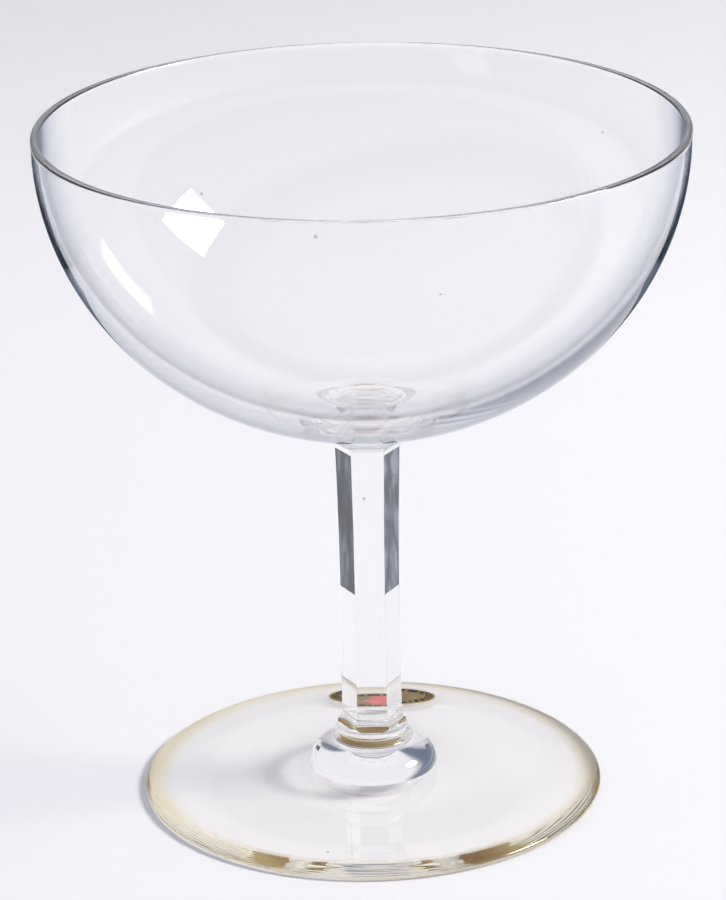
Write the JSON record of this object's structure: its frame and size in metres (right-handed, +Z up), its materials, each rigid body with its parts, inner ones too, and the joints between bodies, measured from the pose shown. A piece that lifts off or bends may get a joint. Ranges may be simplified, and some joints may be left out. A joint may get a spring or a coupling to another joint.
{
  "type": "sherbet glass",
  "caption": "Footed sherbet glass in clear crystal: a wide round bowl on a stem cut with long flats, a round foot, and a plain oval foil seal on the foot.",
  "frame": {"origin": "centre of the plane that the foot stands on", "axes": "+Z up along the axis of the glass, -Y towards the front flat of the stem, +Y towards the foil seal"},
  "size_m": [0.096, 0.096, 0.1046],
  "materials": {
    "bowl_crystal": "clear blown crystal, fire polished",
    "stem_crystal": "clear crystal, cut and polished flats",
    "foot_crystal": "clear cast crystal, fire polished",
    "gold_foil": "embossed gold foil on paper, with a plain coral centre"
  },
  "bodies": {
    "root": {"bowl": "bowl_crystal", "stem": "stem_crystal", "foot": "foot_crystal", "foil_seal": "gold_foil"}
  },
  "joints": []
}
